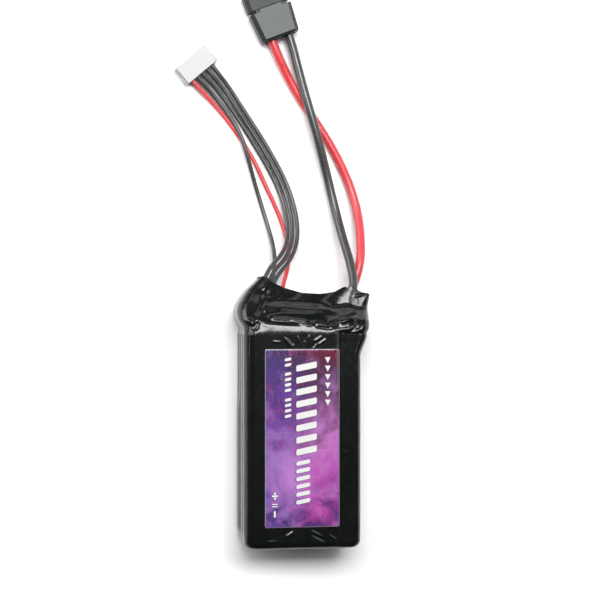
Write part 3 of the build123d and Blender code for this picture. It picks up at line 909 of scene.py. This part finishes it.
# ------------------------------------------------------------------ label
LABEL_LOW, LABEL_HIGH = (Vector(corner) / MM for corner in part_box("front_label"))
LABEL_THICKNESS = 0.10
LABEL_GAP = 0.02             # between the film and the label's back
LABEL_CORNER = 0.5
LABEL_COLUMNS, LABEL_ROWS = 60, 140
INK_HEIGHT = 0.03
SLANT = 0.20                 # how far the printed bars lean, for each unit they run across
BAR_CORNER = 0.35            # how far a bar's corners are cut, at most 0.3 of a side
SHADOW_GROWTH = 0.18
SHADOW_SHIFT = Vector((-0.12, -0.10))
NO_SHIFT = Vector((0, 0))


def label_surface(x, y):
    """Height of the label's face, in millimetres: it follows the plate under it."""
    return FACE_Z + LABEL_GAP + LABEL_THICKNESS + face_relief(np.minimum(x, PLATE_X[1] - 0.1), y)


def make_label():
    """A thin sheet with rounded corners that follows the face."""
    across = np.linspace(LABEL_LOW.x, LABEL_HIGH.x, LABEL_COLUMNS)
    points = []
    for row in range(LABEL_ROWS):
        y = LABEL_LOW.y + (LABEL_HIGH.y - LABEL_LOW.y) * row / (LABEL_ROWS - 1)
        to_end = min(y - LABEL_LOW.y, LABEL_HIGH.y - y)
        short = max(LABEL_CORNER - to_end, 0)
        cut = LABEL_CORNER - sqrt(LABEL_CORNER ** 2 - short ** 2)
        x = np.clip(across, LABEL_LOW.x + cut, LABEL_HIGH.x - cut)
        points.append(np.stack([x, np.full_like(x, y), label_surface(x, np.full_like(x, y))], axis=1))
    faces = []
    for row in range(LABEL_ROWS - 1):
        for column in range(LABEL_COLUMNS - 1):
            corner = row * LABEL_COLUMNS + column
            faces.append((corner, corner + 1, corner + LABEL_COLUMNS + 1, corner + LABEL_COLUMNS))
    mesh = new_mesh("label_sheet", (np.concatenate(points) * MM).tolist(), faces)
    sheet = new_piece("label_sheet", mesh, "label_print")
    thicken(sheet, LABEL_THICKNESS)
    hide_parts("front_label")


def bar(x_low, x_high, y_top, width, slant=SLANT):
    """Outline of a printed bar: it runs across the label and leans towards its top end."""
    lean = slant * (x_high - x_low)
    y_end = y_top - width
    corners = ((x_low, y_top - lean), (x_high, y_top), (x_high, y_end), (x_low, y_end - lean))
    outline = []
    for index, corner in enumerate(corners):
        here = Vector(corner)
        for other in (corners[index - 1], corners[(index + 1) % 4]):
            toward = Vector(other) - here
            outline.append(here + toward * min(BAR_CORNER / toward.length, 0.3))
    return outline


def arrow(x_low, x_high, y_top, width):
    """Outline of a small printed triangle that points along the label."""
    middle = (x_low + x_high) / 2
    return [Vector((x_high, y_top)), Vector((middle, y_top - width)), Vector((x_low, y_top))]


def artwork():
    """Outlines of the generic print: a charge gauge, tick rows and the two pole signs."""
    outlines = [bar(-3.0, 5.0, 21.6 - 4.64 * step, 2.4) for step in range(8)]
    outlines += [bar(-3.0, 2.4, -16.2 - 3.0 * step, 1.55) for step in range(6)]
    outlines += [arrow(8.2, 10.4, 23.2 - 3.3 * step, 2.3) for step in range(6)]
    for first, count in ((23.2, 2), (17.6, 4), (7.6, 4)):
        outlines += [bar(-7.5, -5.0, first - 2.1 * step, 1.1) for step in range(count)]
    outlines += [bar(-12.6, -10.2, -30.0, 0.75, 0), bar(-11.8, -11.0, -28.9, 1.02, 0),
                 bar(-11.8, -11.0, -30.83, 1.02, 0), bar(-11.8, -11.0, -36.0, 2.6, 0)]
    outlines += [bar(-12.6, -10.2, -33.3 - 0.9 * step, 0.4, 0) for step in range(2)]
    return outlines


def print_mesh(name, outlines, lift, grow, shift):
    """Flat prisms just above the label from outlines, enlarged by grow and moved by shift."""
    points, faces = [], []
    for outline in outlines:
        middle = sum(outline, Vector((0, 0))) / len(outline)
        start = len(points)
        for height in (0.0, INK_HEIGHT):
            for corner in outline:
                away = corner - middle
                place = corner + away.normalized() * grow + shift
                level = float(label_surface(np.array([place.x]), np.array([place.y]))[0])
                points.append((place.x * MM, place.y * MM, (level + lift + height) * MM))
        count = len(outline)
        faces.append(tuple(start + index for index in range(count)))
        faces.append(tuple(start + count + index for index in reversed(range(count))))
        for index in range(count):
            after = (index + 1) % count
            faces.append((start + index, start + count + index, start + count + after, start + after))
    return new_mesh(name, points, faces)


def make_artwork():
    """White shapes, each on a slightly larger dark one."""
    shadow = print_mesh("label_print_shadow", artwork(), 0.0, SHADOW_GROWTH, SHADOW_SHIFT)
    white = print_mesh("label_print_white", artwork(), INK_HEIGHT, 0.0, NO_SHIFT)
    new_piece("label_print_shadow", shadow, "label_print", smooth=False, finish="dark_ink")
    new_piece("label_print_white", white, "label_print", smooth=False, finish="white_ink")


make_label()
make_artwork()


# ------------------------------------------------------------------ rounded edges of the moulded parts
def soften(node, width):
    """Rounds the sharp edges of a moulded part by a width in millimetres."""
    bevel = frame["nodes"][node].modifiers.new("soft_edges", "BEVEL")
    bevel.width = width * MM
    bevel.segments = 3
    bevel.limit_method = "ANGLE"
    bevel.angle_limit = radians(35)


soften("plug_cover", 0.14)
soften("power_plug_body", 0.14)
soften("balance_housing", 0.12)
